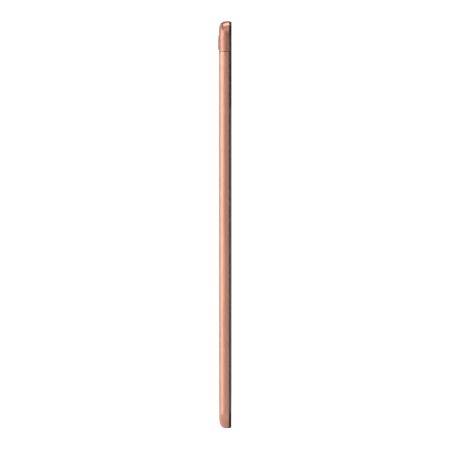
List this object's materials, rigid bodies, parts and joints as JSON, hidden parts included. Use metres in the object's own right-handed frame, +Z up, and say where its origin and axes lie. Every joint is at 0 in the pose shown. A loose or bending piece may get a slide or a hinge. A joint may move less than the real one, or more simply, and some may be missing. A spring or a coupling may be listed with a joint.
{
  "type": "tablet computer",
  "caption": "Slim tablet computer: glass-fronted slab with a soft-edged metal back, a plastic aerial cap with a raised camera, side keys and a card tray.",
  "frame": {"origin": "middle of the bottom edge, half way through the casing's thickness, under the standing tablet", "axes": "+Z up along the long side, +Y out of the back, -Y out of the screen, +X towards the edge with the keys (the user's right)"},
  "size_m": [0.1497, 0.0081, 0.2452],
  "materials": {
    "copper_metal": "fine bead-blasted, copper-coloured anodised aluminium",
    "copper_cap": "satin copper-coloured metallic paint on plastic",
    "copper_tray": "copper-coloured anodised aluminium",
    "black_frame": "fine satin black plastic",
    "cover_glass": "black-backed cover glass, polished",
    "tape": "black foam tape",
    "display_cell": "dark display cell",
    "optical_film": "milky film and clear acrylic",
    "steel_sheet": "thin stamped stainless steel",
    "plated_steel": "nickel-plated drawn steel",
    "screw_steel": "small zinc-plated screws",
    "alloy_plate": "pressed alloy plate",
    "pouch_foil": "dark laminated foil pouch",
    "circuit_board": "green solder mask",
    "chip_package": "black moulded chip packages",
    "flexible_circuit": "amber flexible circuit",
    "black_plastic": "moulded black plastic",
    "paper_cone": "stiff composite plate",
    "graphite": "graphite heat spreader",
    "black_rubber": "soft black rubber",
    "lens_glass": "coated optical glass"
  },
  "bodies": {
    "tablet": {"antenna_cables": "black_plastic", "backlight_tray": "steel_sheet", "battery_board": "circuit_board", "battery_cell_left": "pouch_foil", "battery_cell_right": "pouch_foil", "board_chips": "chip_package", "board_connectors": "black_plastic", "board_link_flex": "flexible_circuit", "board_screws": "screw_steel", "bottom_microphone": "black_plastic", "camera_ring": "copper_metal", "camera_window": "lens_glass", "cap_tape": "tape", "card_reader": "steel_sheet", "cover_glass": "cover_glass", "cpu_shield": "steel_sheet", "diffuser_films": "optical_film", "display_flex": "flexible_circuit", "front_camera": "black_plastic", "front_frame": "black_frame", "glass_adhesive": "tape", "graphite_sheet": "graphite", "headphone_jack": "black_plastic", "key_bracket": "steel_sheet", "key_flex": "flexible_circuit", "lcd_panel": "display_cell", "led_strip": "flexible_circuit", "light_guide": "optical_film", "light_sensor": "flexible_circuit", "main_board": "circuit_board", "mic_gaskets": "black_rubber", "mid_plate": "alloy_plate", "power_dome": "steel_sheet", "power_shield": "steel_sheet", "processor": "chip_package", "radio_shield": "steel_sheet", "rear_camera_flex": "flexible_circuit", "rear_camera_housing": "black_plastic", "rear_cover": "copper_metal", "speaker_left": "black_plastic", "speaker_meshes": "steel_sheet", "speaker_right": "black_plastic", "top_cap": "copper_cap", "top_microphone": "black_plastic", "touch_flex": "flexible_circuit", "usb_board": "circuit_board", "usb_bracket": "steel_sheet", "usb_c_shell": "plated_steel", "usb_c_tongue": "black_plastic", "volume_domes": "steel_sheet", "wifi_antennas": "flexible_circuit"},
    "power_button": {"power_key": "copper_metal"},
    "volume_rocker": {"volume_key": "copper_metal"},
    "memory_tray": {"card_tray": "copper_tray"},
    "push_rod": {"eject_rod": "steel_sheet"},
    "lever": {"eject_lever": "steel_sheet"},
    "focus_barrel": {"rear_camera_barrel": "black_plastic", "rear_camera_lens": "lens_glass"},
    "left_cone": {"speaker_cone_left": "paper_cone"},
    "right_cone": {"speaker_cone_right": "paper_cone"}
  },
  "joints": [
    {"name": "power_press", "type": "slide", "parent": "tablet", "child": "power_button", "axis": [-1, 0, 0], "range_m": [0, 0.0003], "stiffness_N_per_m": 4000, "deforming": ["power_dome"]},
    {"name": "volume_rock", "type": "hinge", "parent": "tablet", "child": "volume_rocker", "pos_m": [0.0726, -0.0003, 0.199], "axis": [0, 1, 0], "range_deg": [-1.5, 1.5], "stiffness_Nm_per_rad": 0.3, "deforming": ["volume_domes"]},
    {"name": "tray_slide", "type": "slide", "parent": "tablet", "child": "memory_tray", "axis": [1, 0, 0], "range_m": [0, 0.018]},
    {"name": "eject_press", "type": "slide", "parent": "tablet", "child": "push_rod", "axis": [-1, 0, 0], "range_m": [0, 0.0018]},
    {"name": "eject_turn", "type": "hinge", "parent": "tablet", "child": "lever", "pos_m": [0.0506, 0.0002, 0.1788], "axis": [0, -1, 0], "range_deg": [0, 16.5]},
    {"name": "camera_focus", "type": "slide", "parent": "tablet", "child": "focus_barrel", "axis": [0, 1, 0], "range_m": [0, 0.0003], "stiffness_N_per_m": 60},
    {"name": "left_cone_travel", "type": "slide", "parent": "tablet", "child": "left_cone", "axis": [0, -1, 0], "range_m": [-0.0003, 0.0003], "stiffness_N_per_m": 400},
    {"name": "right_cone_travel", "type": "slide", "parent": "tablet", "child": "right_cone", "axis": [0, -1, 0], "range_m": [-0.0003, 0.0003], "stiffness_N_per_m": 400}
  ],
  "couplings": [
    {"joint": "eject_turn", "follows": "eject_press", "rad_per_m": 155.14}
  ]
}
